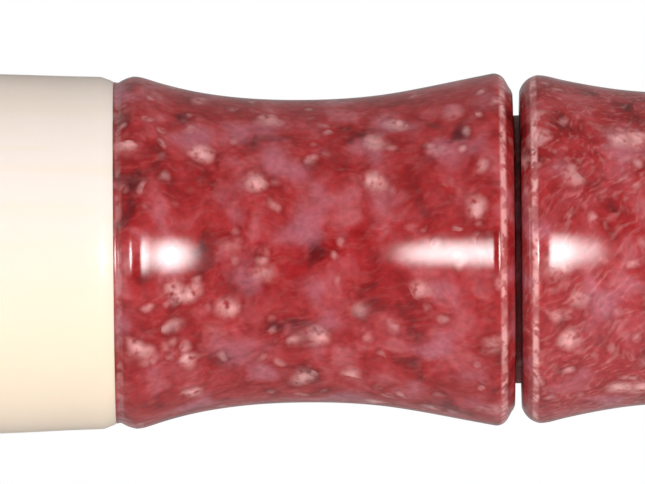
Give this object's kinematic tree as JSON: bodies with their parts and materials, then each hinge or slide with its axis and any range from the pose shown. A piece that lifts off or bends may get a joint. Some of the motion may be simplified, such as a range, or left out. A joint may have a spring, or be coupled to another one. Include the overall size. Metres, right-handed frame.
{
  "type": "duck call",
  "caption": "Turned two-tone duck call: swelled barrel with a waisted marbled sleeve, and a push-in insert that carries a reed-fitted tone board.",
  "frame": {"origin": "centre of the exhaust face, on the call's axis, where the call stands", "axes": "+Z along the call's axis from the exhaust face up to the mouth; +X is the side of the tone board that the reeds lie on"},
  "size_m": [0.036, 0.036, 0.127],
  "materials": {
    "ivory_acrylic": "cast acrylic rod, turned and buffed to a high gloss",
    "marbled_acrylic": "cast acrylic with red, maroon and pearl pink swirls, buffed to a high gloss",
    "board_acrylic": "moulded and milled acrylic with a satin table",
    "reed_film": "frosted polyester film",
    "cork": "pressed natural cork, cut clean",
    "ring_rubber": "moulded nitrile rubber, lightly greased"
  },
  "bodies": {
    "insert": {"insert_body": "marbled_acrylic", "tone_board": "board_acrylic"},
    "sealing_rings": {"upper_o_ring": "ring_rubber", "lower_o_ring": "ring_rubber"},
    "barrel": {"mouthpiece_section": "ivory_acrylic", "marbled_sleeve": "marbled_acrylic"},
    "long_reed": {"long_reed": "reed_film"},
    "short_reed": {"short_reed": "reed_film"},
    "wedge": {"reed_wedge": "cork"}
  },
  "joints": [
    {"name": "barrel_twist", "type": "hinge", "parent": "insert", "child": "sealing_rings", "pos_m": [0, 0, 0.0556], "axis": [0, 0, 1], "continuous": true},
    {"name": "barrel_pull", "type": "slide", "parent": "sealing_rings", "child": "barrel", "axis": [0, 0, 1], "range_m": [0, 0.07]},
    {"name": "long_reed_flex", "type": "hinge", "parent": "insert", "child": "long_reed", "pos_m": [0.00115, 0, 0.0791], "axis": [0, -1, 0], "range_deg": [-1, 2.6], "stiffness_Nm_per_rad": 0.0065, "deforming": ["long_reed"]},
    {"name": "short_reed_flex", "type": "hinge", "parent": "insert", "child": "short_reed", "pos_m": [0.00142, 0, 0.0791], "axis": [0, -1, 0], "range_deg": [-1, 2.6], "stiffness_Nm_per_rad": 0.0065, "deforming": ["short_reed"]},
    {"name": "wedge_slide", "type": "slide", "parent": "insert", "child": "wedge", "axis": [0.0105, 0, 0.9999], "range_m": [0, 0.0125]}
  ],
  "couplings": [
    {"joint": "short_reed_flex", "follows": "long_reed_flex", "ratio": 1}
  ]
}
